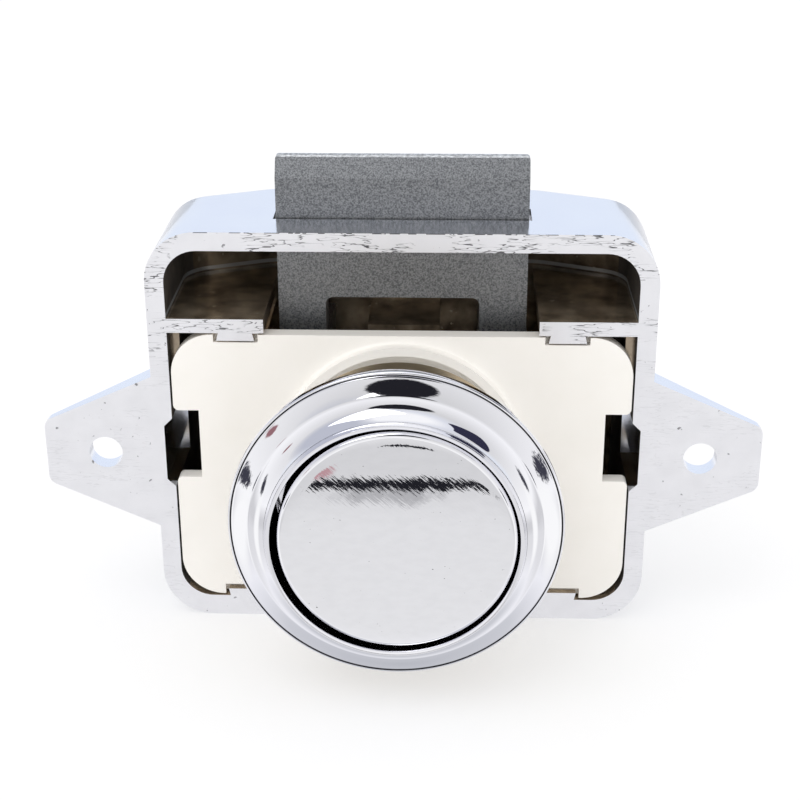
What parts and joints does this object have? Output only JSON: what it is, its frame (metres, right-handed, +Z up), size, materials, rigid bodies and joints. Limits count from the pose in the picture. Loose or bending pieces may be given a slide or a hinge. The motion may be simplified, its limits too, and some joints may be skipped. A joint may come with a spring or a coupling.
{
  "type": "push button cabinet lock",
  "caption": "Push button lock for a cabinet door: cast case with ears, moulded cover, round knob in a trumpet rosette, and a spring bolt that the button draws in.",
  "frame": {"origin": "centre of the two screw holes, on the face of the case that meets the door", "axes": "+X along the row of screw holes, +Y into the cabinet, +Z up towards the bolt"},
  "size_m": [0.0768, 0.0408, 0.0514],
  "materials": {
    "case_metal": "satin front faces over bright plated sides",
    "cream_plastic": "moulded, slightly glossy",
    "bolt_metal": "bare grey casting, rubbed",
    "steel": "plain turned",
    "spring_steel": "drawn wire",
    "brass": "plain turned",
    "chrome_plate": "mirror polish"
  },
  "bodies": {
    "lock_case": {"case": "case_metal", "cover": "cream_plastic", "cam_wire": "spring_steel", "button_spring": "spring_steel", "bolt_spring_left": "spring_steel", "bolt_spring_right": "spring_steel"},
    "bolt": {"latch_bolt": "bolt_metal"},
    "button": {"plunger": "cream_plastic", "plunger_insert": "brass", "drive_pin_left": "steel", "drive_pin_right": "steel", "adjusting_stud": "steel", "lock_nut": "steel"},
    "knob": {"knob_core": "cream_plastic", "knob_cap": "chrome_plate"},
    "rosette": {"rosette": "chrome_plate"}
  },
  "joints": [
    {"name": "button_slide", "type": "slide", "parent": "lock_case", "child": "button", "axis": [0, -1, 0], "range_m": [0, 0.008], "deforming": ["button_spring", "cam_wire"]},
    {"name": "bolt_slide", "type": "slide", "parent": "lock_case", "child": "bolt", "axis": [0, 0, -1], "range_m": [0, 0.007], "deforming": ["bolt_spring_left", "bolt_spring_right"]},
    {"name": "knob_adjust", "type": "slide", "parent": "button", "child": "knob", "axis": [0, -1, 0], "range_m": [0, 0.009]},
    {"name": "rosette_adjust", "type": "slide", "parent": "lock_case", "child": "rosette", "axis": [0, -1, 0], "range_m": [0, 0.009]}
  ],
  "couplings": [
    {"joint": "bolt_slide", "follows": "button_slide", "ratio": 0.875},
    {"joint": "rosette_adjust", "follows": "knob_adjust", "ratio": 1}
  ]
}
